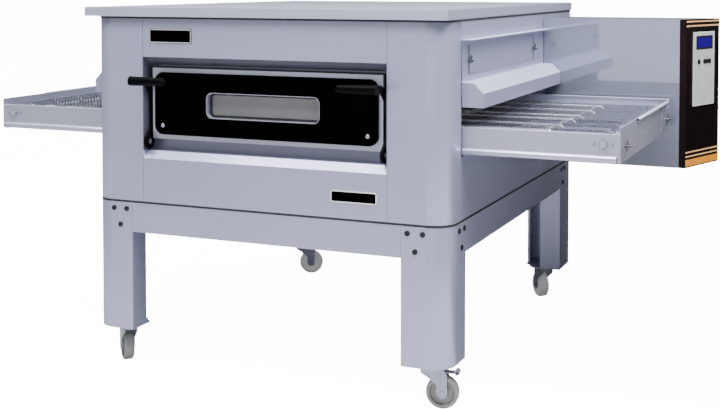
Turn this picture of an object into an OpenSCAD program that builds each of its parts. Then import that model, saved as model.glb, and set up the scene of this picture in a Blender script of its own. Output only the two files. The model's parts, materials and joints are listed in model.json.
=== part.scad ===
// Conveyor pizza oven on a wheeled stand.
// Body coordinates: X = 0 is the middle of the oven body, Y = 0 its front face, Z = 0 the floor.
// place() then moves everything so that the origin is the bottom centre of the whole object.

/* [Body] */
// Width of the oven body
body_w = 1235; // [1200:5:1260]
// Depth of the oven body, front face to rear panel
body_d = 1495; // [1480:5:1520]
// Height of the top surface above the floor
body_top = 1190; // [1185:1:1200]
// Radius of the rounded front corners
corner_r = 70; // [60:1:75]
// Thickness of the folded sheet
sheet = 2; // [1.5:0.5:2]
// Thickness of the top cover
cover_h = 30; // [28:1:32]
// Overhang of the top cover at the left side
cover_over_left = 21; // [10:1:30]
// Overhang of the top cover at the front
cover_over_front = 14; // [10:1:30]
// Overhang of the top cover at the rear
cover_over_rear = 25; // [10:1:30]

/* [Stand] */
// Height of the stand's top edge
stand_top = 557; // [555:1:558]
// Height of the underside of the legs
leg_bottom = 137; // [137:1:140]
// Width of a leg seen from the front
leg_w = 150; // [145:1:160]
// Depth of a leg seen from the side
leg_d = 155; // [150:1:160]
// Width of the inward returns of a leg
leg_return = 79; // [70:1:85]
// Height of the stand rails
rail_h = 98; // [90:1:100]

/* [Door] */
// Half width of the recess that holds the door
recess_x = 424; // [420:1:428]
// Depth of the recess
recess_d = 50; // [48:1:54]
// Half width of the door
door_x = 402; // [398:1:403]
// Lower edge of the door
door_z0 = 766; // [765:1:768]
// Upper edge of the door
door_z1 = 995; // [990:1:997]
// Half width of the black door panel
panel_x = 388; // [380:1:390]
// Half width of the window
window_x = 198; // [180:1:205]
// Height of the door pivot
pivot_z = 757; // [757:1:758]

/* [Conveyor] */
// Distance from the middle of the oven to either end plate
conveyor_x = 1084; // [1080:1:1090]
// Front face of the conveyor
rail_y0 = 117; // [115:1:120]
// Rear face of the conveyor
rail_y1 = 1005; // [1003:1:1007]
// Height of the shaft centres
shaft_z = 811; // [811:1:812]
// Distance from the middle of the oven to either shaft
shaft_x = 1037; // [1034:1:1038]
// Radius of the belt's outer face round the shafts
belt_r = 31; // [31:1:31]
// Places of the belt support rods, from the oven's front face
rod_y = [185, 324, 484, 592, 759, 918];

/* [Controls] */
// Front face of the control enclosure
box_y0 = 1060; // [1058:1:1062]
// Depth of the control enclosure
box_d = 240; // [236:1:242]
// Underside of the control enclosure
box_z0 = 612; // [610:1:616]
// Top of the control enclosure
box_z1 = 1139; // [1130:1:1142]
// Right end of the control enclosure at its front
box_x1 = 1111; // [1108:1:1112]
// Angle of the control face, turned towards the front
face_angle = 19.5; // [18:0.5:20]

/* [Casters] */
// Wheel diameter
wheel_d = 100; // [98:1:100]
// Wheel width
wheel_w = 32; // [30:1:34]
// Distance of the wheel axle from the swivel axis
trail = 33; // [32:1:34]

/* [Hidden] */
$fn = 48;

half_w = body_w / 2;
body_z0 = stand_top + 3;
body_z1 = body_top - cover_h;
gap = 0.5;

// Grips of the door
grip_y = -74;
grip_z = 958;
grip_r = 15;
grip_x0 = 291;
grip_x1 = 422;

// Gland on the rear panel
gland_x = 450;
gland_z = 640;
gland_bore_r = 8;
gland_len = 26;

// Control face: its front corner and its directions
face_len = box_d / cos(face_angle);
fascia_t = 22;
face_x0 = box_x1 + fascia_t;

// Bounding box of the whole object, for the origin
x_max = face_x0 + box_d * tan(face_angle);
wing_stud_len = 15;
x_min = -(conveyor_x + sheet + wing_stud_len);
y_min = grip_y - grip_r;
y_max = body_d + gland_len;
mid_x = (x_min + x_max) / 2;
mid_y = (y_min + y_max) / 2;

// Casters: swivel place and heading of each one
swivel_in = 80;
swivel_y = [swivel_in, body_d - swivel_in];
heading_fl = 135;
heading_fr = 10;
heading_rl = 20;
heading_rr = 130;

steel = [0.70, 0.71, 0.76];
dark_steel = [0.42, 0.43, 0.46];
black = [0.05, 0.05, 0.05];
nylon = [0.86, 0.86, 0.84];

module place() translate([-mid_x, -mid_y, 0]) children();
module mirror_left() mirror([1, 0, 0]) children();

// A box given by its low and high corners
module span(low, high) translate(low) cube([high[0] - low[0], high[1] - low[1], high[2] - low[2]]);

// A straight rod between two heights, or along X or Y
module rod_x(r, x0, x1, y, z) translate([x0, y, z]) rotate([0, 90, 0]) cylinder(r = r, h = x1 - x0);
module rod_y(r, y0, y1, x, z) translate([x, y1, z]) rotate([90, 0, 0]) cylinder(r = r, h = y1 - y0);

// Plan outline of a corner piece with its outer corner at the origin, rounded with radius r
module corner_plan(w, d, r) {
    translate([-w, 0]) square([w - r, d]);
    translate([-r, r]) square([r, d - r]);
    intersection() {
        translate([-r, r]) circle(r);
        translate([-r, 0]) square([r, r]);
    }
}

// ---------- Stand ----------

leg_lip = 10;

// Folded channel: outer faces, two returns and their small lips, open at the inner corner
module leg_plan(r) {
    difference() {
        corner_plan(leg_w, leg_d, r);
        translate([-sheet, sheet]) corner_plan(leg_w - 2 * sheet, leg_d - 2 * sheet, r - sheet);
        translate([-leg_w - 1, leg_return]) square([leg_w - leg_return + 1, leg_d]);
    }
    translate([-leg_w, leg_return - sheet]) square([leg_lip, sheet]);
    translate([-leg_return, leg_d - leg_lip]) square([sheet, leg_lip]);
}

// Outer faces only, for the height where the rails come in
module leg_face_plan(r) {
    difference() {
        corner_plan(leg_w, leg_d, r);
        translate([-sheet, sheet]) corner_plan(leg_w, leg_d, r - sheet);
    }
}

module leg(r) {
    rail_z = stand_top - rail_h;
    difference() {
        union() {
            translate([0, 0, leg_bottom]) linear_extrude(rail_z - gap - leg_bottom) leg_plan(r);
            translate([0, 0, rail_z - gap]) linear_extrude(rail_h + gap) leg_face_plan(r);
            translate([0, 0, leg_bottom]) linear_extrude(4) difference() {
                corner_plan(leg_w, leg_d, r);
                translate([-leg_w, leg_d]) rotate(-45) square(80, center = true);
            }
        }
        leg_bolt_places() cylinder(r = bolt_r + 0.2, h = 12, center = true);
    }
}

// Bolts of one leg: three through the front face and three through the side face
bolt_r = 4;
bolt_in = [81, 129];
bolt_in_low = 105;
bolt_z = stand_top - 23;
bolt_z_low = stand_top - 76;
module leg_bolt_places() {
    for (x = bolt_in) translate([-x, 0, bolt_z]) rotate([90, 0, 0]) children();
    translate([-bolt_in_low, 0, bolt_z_low]) rotate([90, 0, 0]) children();
    for (y = bolt_in) translate([0, y + 9, bolt_z]) rotate([0, 90, 0]) children();
    translate([0, bolt_in_low + 9, bolt_z_low]) rotate([0, 90, 0]) children();
}

module at_front_legs() {
    translate([half_w, 0, 0]) children();
    translate([-half_w, 0, 0]) mirror_left() children();
}
module at_rear_legs() {
    translate([half_w, body_d, 0]) mirror([0, 1, 0]) children();
    translate([-half_w, body_d, 0]) mirror_left() mirror([0, 1, 0]) children();
}

module front_legs() color(steel) place() at_front_legs() leg(corner_r);
module rear_legs() color(steel) place() at_rear_legs() leg(4);

// One C-shaped rail along X, with its bolting tabs behind the leg faces
module rail_section(len) {
    flange = 30;
    z0 = stand_top - rail_h;
    tab = 78;
    span([0, 0, z0], [len, sheet, stand_top]);
    span([0, 0, z0], [len, flange, z0 + sheet]);
    span([0, 0, stand_top - sheet], [len, flange, stand_top]);
    for (x = [-tab, len - 20]) span([x, sheet, z0 + 4], [x + tab + 20, 2 * sheet, stand_top - 4]);
}

module drilled_rails() {
    long = body_w - 2 * leg_w - 2 * gap;
    deep = body_d - 2 * leg_d - 2 * gap;
    translate([-long / 2, 0, 0]) rail_section(long);
    translate([-long / 2, body_d, 0]) mirror([0, 1, 0]) rail_section(long);
    translate([-half_w, leg_d + gap, 0]) rotate(90) mirror([0, 1, 0]) rail_section(deep);
    translate([half_w, leg_d + gap, 0]) rotate(90) rail_section(deep);
}

module stand_rails() color(steel) place() difference() {
    drilled_rails();
    at_front_legs() leg_bolt_places() cylinder(r = bolt_r + 0.2, h = 12, center = true);
    at_rear_legs() leg_bolt_places() cylinder(r = bolt_r + 0.2, h = 12, center = true);
}

// Domed button head outside, shank through both sheets and a nut behind
module leg_bolt() {
    cylinder(r = 8, h = 4);
    translate([0, 0, -14]) cylinder(r = bolt_r, h = 14.5);
    translate([0, 0, -2 * sheet - 7]) cylinder(r = 7.5, h = 6.8, $fn = 6);
}
module leg_bolts() color(black) place() {
    at_front_legs() leg_bolt_places() leg_bolt();
    at_rear_legs() leg_bolt_places() leg_bolt();
}

// ---------- Casters ----------

plate_t = 4;
race_r = 26;
fork_top = 120;
axle_z = wheel_d / 2;
axle_r = 6;
blade_in = 19;
blade_t = 4;

module at_swivel(sx, row, heading = 0) {
    translate([sx * (half_w - swivel_in), swivel_y[row], 0]) rotate(heading) children();
}

// Top plate with its bearing race and four bolt heads
module caster_plate() {
    translate([-52, -42, leg_bottom - plate_t]) cube([104, 84, plate_t]);
    translate([0, 0, fork_top + 1]) cylinder(r = race_r, h = leg_bottom - plate_t - fork_top - 1);
    for (x = [-40, 40], y = [-30, 30]) translate([x, y, leg_bottom - plate_t - 5]) cylinder(r = 7, h = 5, $fn = 6);
}
module caster_plates() color(dark_steel) place()
    for (sx = [-1, 1], row = [0, 1]) at_swivel(sx, row) difference() {
        caster_plate();
        translate([0, 0, fork_top]) cylinder(r = 6.05, h = 11);
    }

// Fork: crown disc, two blades with a flared top and a straight shank, and the riveted axle
shank = 16;
module fork_blade() {
    translate([0, blade_t, 0]) rotate([90, 0, 0]) linear_extrude(blade_t) difference() {
        union() {
            polygon([[-33, fork_top], [-29, fork_top - 13], [-6, fork_top - 27], [trail - shank, fork_top - 46],
                     [trail - shank, axle_z], [trail + shank, axle_z], [trail + shank, fork_top - 15],
                     [trail + 6, fork_top]]);
            translate([trail, axle_z]) circle(shank);
        }
        translate([trail, axle_z]) circle(axle_r - 1);
    }
}
module caster_fork() {
    translate([0, 0, fork_top - 4]) cylinder(r = 30, h = 4.5);
    translate([0, 0, fork_top]) cylinder(r = 6, h = 10);
    translate([0, blade_in, 0]) fork_blade();
    translate([0, -blade_in - blade_t, 0]) fork_blade();
    rod_y(axle_r, -blade_in - blade_t - 1, blade_in + blade_t + 1, trail, axle_z);
    rod_y(8, -blade_in - blade_t - 1.5, -blade_in - blade_t, trail, axle_z);
    rod_y(8, blade_in + blade_t, blade_in + blade_t + 1.5, trail, axle_z);
}

// Wheel: rounded tread, dished web and hub, on a running bore
module caster_wheel() {
    translate([trail, 0, axle_z]) rotate([90, 0, 0]) difference() {
        rotate_extrude() {
            r = wheel_d / 2;
            w = wheel_w / 2;
            for (m = [0, 1]) mirror([0, m]) polygon([[0, 0], [0, w + 2], [17, w + 2], [19, 6], [r - 14, 6],
                                                     [r - 12, w], [r - 4, w], [r - 1, w - 3], [r, w - 7], [r, 0]]);
        }
        cylinder(r = axle_r + 0.05, h = 60, center = true);
    }
}

// Pedal over the wheel with a rolled end, hinged on a pin between the blades
pedal_pin = [27, 110];
module brake_pedal() {
    rod_y(3, -blade_in + 0.5, blade_in - 0.5, pedal_pin[0], pedal_pin[1]);
    span([pedal_pin[0], -14, pedal_pin[1] - 1.5], [74, 14, pedal_pin[1] + 1.5]);
    difference() {
        rod_y(8, -14, 14, 78, pedal_pin[1] + 2);
        rod_y(5, -15, 15, 78, pedal_pin[1] + 2);
    }
}

module caster_fork_fl() color(dark_steel) place() at_swivel(-1, 0, heading_fl) caster_fork();
module caster_fork_fr() color(dark_steel) place() at_swivel(1, 0, heading_fr) caster_fork();
module caster_fork_rl() color(dark_steel) place() at_swivel(-1, 1, heading_rl) caster_fork();
module caster_fork_rr() color(dark_steel) place() at_swivel(1, 1, heading_rr) caster_fork();
module caster_wheel_fl() color(nylon) place() at_swivel(-1, 0, heading_fl) caster_wheel();
module caster_wheel_fr() color(nylon) place() at_swivel(1, 0, heading_fr) caster_wheel();
module caster_wheel_rl() color(nylon) place() at_swivel(-1, 1, heading_rl) caster_wheel();
module caster_wheel_rr() color(nylon) place() at_swivel(1, 1, heading_rr) caster_wheel();
module brake_pedal_rr() color(dark_steel) place() at_swivel(1, 1, heading_rr) brake_pedal();
module brake_pedal_fr() color(dark_steel) place() at_swivel(1, 0, heading_fr) brake_pedal();

// ---------- Oven body ----------

post_side = 107;
recess_z0 = 703;
recess_z1 = 1030.5;
bevel_d = 42;
bevel_z = 1004.5;
sill_d = 21;
sill_z = 727;

// Top cover: a tray turned upside down, with an inward return all round
module top_cover() color(steel) place() {
    x0 = -half_w - cover_over_left;
    x1 = half_w;
    y0 = -cover_over_front;
    y1 = body_d + cover_over_rear;
    difference() {
        span([x0, y0, body_z1], [x1, y1, body_top]);
        span([x0 + sheet, y0 + sheet, body_z1 + sheet], [x1 - sheet, y1 - sheet, body_top - sheet]);
        span([x0 + 60, y0 + 60, body_z1 - 1], [x1 - 60, y1 - 60, body_z1 + sheet + 1]);
    }
}

// Rounded corner posts with an inward return at each end
module front_post() {
    w = half_w - recess_x - gap;
    translate([half_w, 0, body_z0]) linear_extrude(body_z1 - body_z0) {
        difference() {
            corner_plan(w, post_side, corner_r);
            translate([-sheet, sheet]) corner_plan(w, post_side, corner_r - sheet);
        }
        translate([-w, 0]) square([sheet, 14]);
        translate([-14, post_side - sheet]) square([14, sheet]);
    }
}
module front_posts() color(steel) place() {
    front_post();
    mirror_left() front_post();
}

// Folded flat panel: a face with top and bottom returns
module front_panel(z0, z1) {
    x = recess_x - gap;
    span([-x, 0, z0], [x, sheet, z1]);
    span([-x, 0, z0], [x, 14, z0 + sheet]);
    span([-x, 0, z1 - sheet], [x, 14, z1]);
}
module front_panels() color(steel) place() {
    front_panel(recess_z1 + gap, body_z1);
    front_panel(body_z0, recess_z0 - gap);
}

// Recess round the door: sloped head, side reveals, bright sloped sill and the back plate
module door_surround() color(dark_steel) place() {
    t = sheet;
    x = recess_x;
    rotate([90, 0, 90]) translate([0, 0, -x]) linear_extrude(2 * x) {
        polygon([[0, recess_z1], [bevel_d, bevel_z], [recess_d, bevel_z],
                 [recess_d, bevel_z + t], [bevel_d + 0.6, bevel_z + t], [0, recess_z1 + 0.2 + t - 1.8]]);
        polygon([[0, recess_z0], [sill_d, sill_z], [recess_d, sill_z],
                 [recess_d, sill_z - t], [sill_d + 0.8, sill_z - t], [0.8 + t, recess_z0 + 0.4],
                 [0.8, recess_z0 - 0.4]]);
    }
    for (s = [-1, 1]) translate([s * (x - t / 2), 0, 0]) rotate([90, 0, 90]) linear_extrude(t, center = true)
        polygon([[0, recess_z0], [0, recess_z1], [bevel_d, bevel_z], [recess_d, bevel_z],
                 [recess_d, sill_z], [sill_d, sill_z]]);
    for (s = [-1, 1]) rod_x(8, s * (x - 10) - 9, s * (x - 10) + 9, pivot_y, pivot_z);
    difference() {
        span([-x, recess_d, sill_z - t], [x, recess_d + t, bevel_z + t]);
        span([-mouth_x, recess_d - 1, mouth_z0], [mouth_x, recess_d + t + 1, mouth_z1]);
    }
}

// Chamber mouth behind the door, and the tunnel through which the conveyor runs
mouth_x = 385;
mouth_z0 = 778;
mouth_z1 = 984;
tunnel_y0 = 106;
tunnel_y1 = 1014;
tunnel_z0 = 750;
tunnel_z1 = 966;
liner_x = 570;
liner_y0 = recess_d + 12;
liner_y1 = 1180;
liner_z0 = 690;
liner_z1 = 1050;

module side_panel() {
    difference() {
        union() {
            span([half_w - sheet, post_side + 1, body_z0], [half_w, body_d - 3, body_z1]);
            span([half_w - 14, post_side + 1, body_z0], [half_w, body_d - 3, body_z0 + sheet]);
        }
        span([half_w - 20, tunnel_y0 + 3, tunnel_z0], [half_w + 1, tunnel_y1, tunnel_z1]);
        for (y = stud_y) rod_x(stud_r + 0.1, half_w - 5, half_w + 5, y, stud_z);
    }
}
module side_panel_right() color(steel) place() difference() {
    side_panel();
    rod_x(16, half_w - 5, half_w + 5, box_y0 + 60, box_z0 + 60);
}
module side_panel_left() color(steel) place() mirror_left() side_panel();

// Rear panel with three rows of cooling slots
module rear_panel() color(steel) place() difference() {
    span([-half_w, body_d - sheet, body_z0], [half_w, body_d, body_z1]);
    for (x = [-260 : 40 : 260], z = [660, 900, 1040])
        span([x - 5, body_d - 10, z], [x + 5, body_d + 1, z + 70]);
    rod_y(gland_thread_r + 0.2, body_d - 10, body_d + 5, gland_x, gland_z);
}
gland_thread_r = 12;

// Bottom of the body, folded up inside the panels, its front corners notched for the rounded posts
module base_pan() color(dark_steel) place() {
    x = half_w - 16;
    n = corner_r / 2 + 1;
    span([-half_w + n, 16, body_z0], [half_w - n, n, body_z0 + sheet]);
    span([-x, n, body_z0], [x, body_d - 6, body_z0 + sheet]);
    for (s = [-1, 1]) span([s * x - sheet / 2, n, body_z0], [s * x + sheet / 2, body_d - 6, body_z0 + 24]);
    for (s = [-1, 1], y = [220, 720, 1220]) span([s * 595 - 5, y, stand_top], [s * 595 + 5, y + 60, body_z0]);
}

// Baking chamber: inner box, throat behind the door and a tunnel sleeve at each side
module chamber_liner() color(dark_steel) place() difference() {
    union() {
        span([-liner_x, liner_y0, liner_z0], [liner_x, liner_y1, liner_z1]);
        span([-mouth_x - sheet, recess_d + sheet, mouth_z0 - sheet], [mouth_x + sheet, liner_y0 + 1, mouth_z1 + sheet]);
        span([-half_w + sheet, tunnel_y0 + 1, tunnel_z0 - sheet],
             [half_w - sheet, tunnel_y1 + sheet, tunnel_z1 + sheet]);
    }
    span([-liner_x + sheet, liner_y0 + sheet, liner_z0 + sheet], [liner_x - sheet, liner_y1 - sheet, liner_z1 - sheet]);
    span([-mouth_x, recess_d, mouth_z0], [mouth_x, liner_y0 + 5, mouth_z1]);
    span([-half_w, tunnel_y0 + 3, tunnel_z0], [half_w, tunnel_y1, tunnel_z1]);
    rod_y(fan_shaft_r + 4, liner_y1 - 10, liner_y1 + 10, 0, fan_z);
}

// Mineral wool slabs over, under and behind the chamber
module insulation() color([0.80, 0.76, 0.62]) place() {
    span([-liner_x, liner_y0, liner_z1 + 1], [liner_x, liner_y1, liner_z1 + 51]);
    span([-liner_x, liner_y0, liner_z0 - 51], [liner_x, liner_y1, liner_z0 - 1]);
    difference() {
        span([-liner_x, liner_y1 + 1, liner_z0], [liner_x, liner_y1 + 41, liner_z1]);
        rod_y(fan_shaft_r + 6, liner_y1, liner_y1 + 50, 0, fan_z);
    }
}

// Jet ducts: four above and four below the belt, each with three blowing slots
duct_x = [-411, -137, 137, 411];
duct_w = 190;
duct_y0 = 140;
duct_y1 = 1040;
module jet_duct(z0, z1, slot_z) difference() {
    span([-duct_w / 2, duct_y0, z0], [duct_w / 2, duct_y1, z1]);
    span([-duct_w / 2 + sheet, duct_y0 + sheet, z0 + sheet], [duct_w / 2 - sheet, duct_y1 + 1, z1 - sheet]);
    for (x = [-55, 0, 55]) span([x - 7, duct_y0 + 30, slot_z - 5], [x + 7, duct_y1 - 40, slot_z + 5]);
}
module jet_ducts() color(steel) place() for (x = duct_x) translate([x, 0, 0]) {
    jet_duct(922, 982, 922);
    jet_duct(liner_z0 + 8, 744, 744);
    for (y = [300, 880]) span([-12, y, 982], [12, y + 20, liner_z1 - sheet]);
    for (y = [300, 880]) span([-12, y, liner_z0 + sheet], [12, y + 20, liner_z0 + 8]);
}

// Ring heaters round the fan
fan_z = 866;
fan_y = 1110;
fan_shaft_r = 8;
module heating_elements() color([0.30, 0.22, 0.20]) place() {
    for (y = [fan_y - 30, fan_y, fan_y + 30])
        translate([0, y, fan_z]) rotate([90, 0, 0]) rotate_extrude() translate([155, 0]) circle(4.5, $fn = 24);
    for (x = [-155, 155]) span([x - 3, fan_y - 40, fan_z - 8], [x + 3, liner_y1 - sheet, fan_z + 8]);
}

module fan_motor() color(dark_steel) place() difference() {
    union() {
        rod_y(58, 1250, 1420, 0, fan_z);
        rod_y(72, 1242, 1250, 0, fan_z);
        for (x = [-58, 50]) span([x, 1260, body_z0 + sheet], [x + 8, 1400, fan_z]);
    }
    rod_y(fan_shaft_r + 0.05, 1200, 1400, 0, fan_z);
}

// Fan wheel: back disc, front ring and sixteen straight blades, on its shaft
module fan_impeller() color(steel) place() translate([0, fan_y, fan_z]) rotate([90, 0, 0]) {
    blade_h = 56;
    translate([0, 0, -blade_h / 2]) cylinder(r = 128, h = 2);
    difference() {
        translate([0, 0, blade_h / 2 - 2]) cylinder(r = 128, h = 2);
        translate([0, 0, blade_h / 2 - 5]) cylinder(r = 92, h = 9);
    }
    for (a = [0 : 22.5 : 337.5]) rotate(a) translate([92, -1, -blade_h / 2]) cube([34, 2, blade_h]);
    translate([0, 0, -blade_h / 2]) cylinder(r = 20, h = 36);
    translate([0, 0, -(1390 - fan_y)]) cylinder(r = fan_shaft_r, h = 1390 - fan_y - 5);
}

// ---------- Conveyor ----------

near_top = 839.5;
far_top = 862;
panel_low = 757.5;
tray_top = 777.5;
tray_x0 = half_w + 3;
tray_x1 = conveyor_x - 9;
shaft_r = 10;

// One half of the frame: front and rear side rails, runners for the tray, and cross bars
module frame_half() {
    x1 = conveyor_x;
    t = sheet;
    difference() {
        span([x1 - t, rail_y0 + t, tray_top + 2], [x1, rail_y1 - t, 826]);
        for (y = end_stud_y) rod_x(stud_r + 0.1, x1 - 5, x1 + 5, y, end_stud_z);
    }
    difference() {
        union() {
            span([0, rail_y0, panel_low], [x1, rail_y0 + t, near_top]);
            span([0, rail_y0, near_top - t], [x1, rail_y0 + 12, near_top]);
        }
        span([tray_x0 - 1, rail_y0 - 1, panel_low - 1], [tray_x1 + 1, rail_y0 + t + 1, tray_top + 0.5]);
        rod_y(shaft_r + 2, rail_y0 - 5, rail_y0 + 5, shaft_x, shaft_z);
    }
    difference() {
        union() {
            span([0, rail_y1 - t, panel_low], [x1, rail_y1, far_top]);
            span([0, rail_y1 - 14, panel_low], [x1, rail_y1, panel_low + t]);
            span([0, rail_y1 - 10, far_top - t], [x1, rail_y1, far_top]);
        }
        rod_y(shaft_r + 2, rail_y1 - 5, rail_y1 + 5, shaft_x, shaft_z);
    }
    for (x = [tray_x0 - 3, tray_x1 + 1]) span([x, rail_y0 + t, panel_low], [x + t, rail_y1 - 14, tray_top - 2]);
    span([tray_x0 - 3, rail_y0 + t, panel_low - 2], [tray_x0 + 8, rail_y1 - t, panel_low]);
    span([tray_x1 - 8, rail_y0 + t, panel_low - 2], [tray_x1 + 3, rail_y1 - t, panel_low]);
    for (x = [40, 400]) span([x, rail_y0 + t, panel_low + 2], [x + 20, rail_y1 - t, panel_low + 5]);
}
module conveyor_frame() color(steel) place() {
    frame_half();
    mirror_left() frame_half();
}

// Rack of rods under the upper run of the belt, with ends bent down
rod_r = 3;
rod_z = 835.4;
rod_end = 861;
module belt_support_rack() color(steel) place() {
    hook = 16;
    for (y = rod_y) {
        rod_x(rod_r, -rod_end, rod_end, y, rod_z);
        for (s = [-1, 1]) translate([s * rod_end, y, rod_z]) {
            sphere(rod_r);
            rotate([0, s * 125, 0]) cylinder(r = rod_r, h = hook);
        }
    }
    for (x = [-840, -480, -120, 120, 480, 840]) rod_y(4, rail_y0 + sheet, rail_y1 - sheet, x, rod_z - rod_r - 3.5);
}

// Wire belt, drawn as its closed loop
belt_y0 = 142;
belt_y1 = 962;
belt_t = 3;
module belt_loop(r, x) {
    translate([-x, shaft_z - r]) square([2 * x, 2 * r]);
    for (s = [-1, 1]) translate([s * x, shaft_z]) circle(r);
}
module conveyor_belt() color([0.60, 0.61, 0.64]) place()
    translate([0, belt_y1, 0]) rotate([90, 0, 0]) linear_extrude(belt_y1 - belt_y0) difference() {
        belt_loop(belt_r, shaft_x);
        belt_loop(belt_r - belt_t, shaft_x);
    }

// A shaft with six sprockets and a collar at each end
module belt_shaft(y1) {
    rod_y(shaft_r, rail_y0 - 9, y1, 0, 0);
    for (i = [0 : 5]) translate([0, belt_y0 + 60 + i * 140, 0]) rotate([90, 0, 0])
        cylinder(r = belt_r - belt_t - 0.6, h = 10, $fn = 12);
}
module drive_shaft() color(steel) place() translate([shaft_x, 0, shaft_z]) belt_shaft(box_y0 + 90);
module idler_shaft() color(steel) place() translate([-shaft_x, 0, shaft_z]) belt_shaft(rail_y1 + 6);

// Flanged bearings outside the side rails, each with two screws
module bearing() difference() {
    union() {
        cylinder(r = 13, h = 8);
        translate([0, 0, -sheet - 1]) cylinder(r = shaft_r + 1.8, h = 4);
        for (x = [-26, 26]) translate([x, 0, 0]) cylinder(r = 3.5, h = 2.5);
    }
    translate([0, 0, -5]) cylinder(r = shaft_r + 0.05, h = 20);
}
module shaft_bearings() color(steel) place() for (s = [-1, 1]) {
    translate([s * shaft_x, rail_y0, shaft_z]) rotate([90, 0, 0]) bearing();
    translate([s * shaft_x, rail_y1, shaft_z]) rotate([-90, 0, 0]) bearing();
}

// End plate with its rolled grip edge, held by two wing bolts
edge_r = 6;
end_stud_y = [190, 932];
end_stud_z = 798;
module end_plate() difference() {
    union() {
        span([conveyor_x, rail_y0, panel_low], [conveyor_x + sheet, rail_y1, far_top - 2]);
        rod_y(edge_r, 362, 935, conveyor_x + edge_r, far_top - edge_r);
        span([conveyor_x, 832, 764], [conveyor_x + sheet + 1, 984, 838]);
    }
    rod_y(edge_r - 1.5, 361, 936, conveyor_x + edge_r, far_top - edge_r);
    for (y = end_stud_y) rod_x(stud_r + 0.1, conveyor_x - 5, conveyor_x + 5, y, end_stud_z);
}
module end_plates() color(steel) place() {
    end_plate();
    mirror_left() end_plate();
}

// Crumb tray: shallow pan with a rounded full-length pull lip at the front
module crumb_tray() {
    lip_r = 10;
    z0 = panel_low + 0.3;
    x0 = tray_x0 + 0.5;
    x1 = tray_x1 - 0.5;
    difference() {
        span([x0, rail_y0, z0], [x1, rail_y1 - 16, z0 + 15]);
        span([x0 + 1.5, rail_y0 + 3, z0 + 1.5], [x1 - 1.5, rail_y1 - 18, z0 + 16]);
    }
    intersection() {
        rod_x(lip_r, x0, x1, rail_y0, z0 + lip_r);
        span([x0, rail_y0 - lip_r, z0], [x1, rail_y0 + 1.5, z0 + 2 * lip_r]);
    }
}
module crumb_tray_right() color(steel) place() crumb_tray();
module crumb_tray_left() color(steel) place() mirror_left() crumb_tray();

// Gear motor in the control enclosure, on the end of the drive shaft
module gear_motor() color(dark_steel) place() difference() {
    y0 = box_y0 + 20;
    union() {
        span([shaft_x - 45, y0, shaft_z - 60], [shaft_x + 45, y0 + 80, shaft_z + 45]);
        rod_y(38, y0 + 80, y0 + 190, shaft_x, shaft_z - 10);
        span([shaft_x - 45, box_y0 + sheet, shaft_z - 60], [shaft_x - 39, y0 + 10, shaft_z + 45]);
        span([shaft_x + 39, box_y0 + sheet, shaft_z - 60], [shaft_x + 45, y0 + 10, shaft_z + 45]);
    }
    rod_y(shaft_r + 0.05, box_y0, box_y0 + 92, shaft_x, shaft_z);
}

// ---------- Height-adjustable hoods over the belt ----------

hood_y0 = 109;
hood_y1 = 1054;
hood_z0 = 899.5;
hood_d = 69;
hood_plate_x = half_w + 1;
stud_y = [171, 912];
stud_z = 1033.5;
stud_r = 2.5;
slot_r = 2.9;
slot_z0 = 994;
slot_z1 = 1082;

module hood_section() {
    x0 = hood_plate_x;
    x1 = half_w + hood_d;
    t = sheet;
    polygon([[x0, hood_z0], [x0, 1100], [x0 + 33, 1100], [x0 + 33, 1100 - t], [x0 + t, 1100 - t],
             [x0 + t, 972.5], [x0 + 38, 972.5], [x1, 942], [x1, hood_z0], [x1 - t, hood_z0],
             [x1 - t, 941.2], [x0 + 37.2, 970.5], [x0 + t, 970.5], [x0 + t, hood_z0]]);
}
module hood_cap_section() {
    x0 = hood_plate_x;
    polygon([[x0, hood_z0], [x0, 972.5], [x0 + 38, 972.5], [half_w + hood_d, 942], [half_w + hood_d, hood_z0]]);
}
module hood() difference() {
    translate([0, hood_y1, 0]) rotate([90, 0, 0]) {
        linear_extrude(hood_y1 - hood_y0) hood_section();
        linear_extrude(sheet) hood_cap_section();
        translate([0, 0, hood_y1 - hood_y0 - sheet]) linear_extrude(sheet) hood_cap_section();
    }
    for (y = stud_y) {
        span([half_w - 1, y - slot_r, slot_z0 + slot_r], [hood_plate_x + 3, y + slot_r, slot_z1 - slot_r]);
        for (z = [slot_z0 + slot_r, slot_z1 - slot_r]) rod_x(slot_r, half_w - 1, hood_plate_x + 3, y, z);
    }
}
module hood_right() color(steel) place() hood();
module hood_left() color(steel) place() mirror_left() hood();

// Studs for the wing nuts: four behind the hoods and four through the end plates
module stud_half() {
    for (y = stud_y) {
        rod_x(stud_r, half_w - sheet - 3, half_w + 18, y, stud_z);
        rod_x(8, half_w - sheet - 3, half_w - sheet, y, stud_z);
    }
    for (y = end_stud_y) {
        rod_x(stud_r, conveyor_x - 7, conveyor_x + sheet + wing_stud_len, y, end_stud_z);
        rod_x(7, conveyor_x - 7, conveyor_x - sheet, y, end_stud_z);
    }
}
module wing_studs() color(dark_steel) place() {
    stud_half();
    mirror_left() stud_half();
}

// Wing nut with its hub along +X
module wing_nut() difference() {
    union() {
        rotate([0, 90, 0]) cylinder(r1 = 8, r2 = 6, h = 9);
        for (s = [-1, 1]) translate([5.5, s * 11, 5]) rotate([0, 90, 0]) intersection() {
            cylinder(r = 8, h = 2.5, center = true);
            translate([-10, -8, -2]) cube([12, 16, 4]);
        }
        translate([4.25, -10, -3]) cube([2.5, 20, 7]);
    }
    rotate([0, 90, 0]) translate([0, 0, -1]) cylinder(r = stud_r + 0.05, h = 14);
}
module nut_half() {
    for (y = stud_y) translate([hood_plate_x + sheet + 0.3, y, stud_z]) rotate([25, 0, 0]) wing_nut();
    for (y = end_stud_y) translate([conveyor_x + sheet + 1, y, end_stud_z]) rotate([60, 0, 0]) wing_nut();
}
module wing_nuts() color(dark_steel) place() {
    nut_half();
    mirror_left() nut_half();
}

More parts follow.
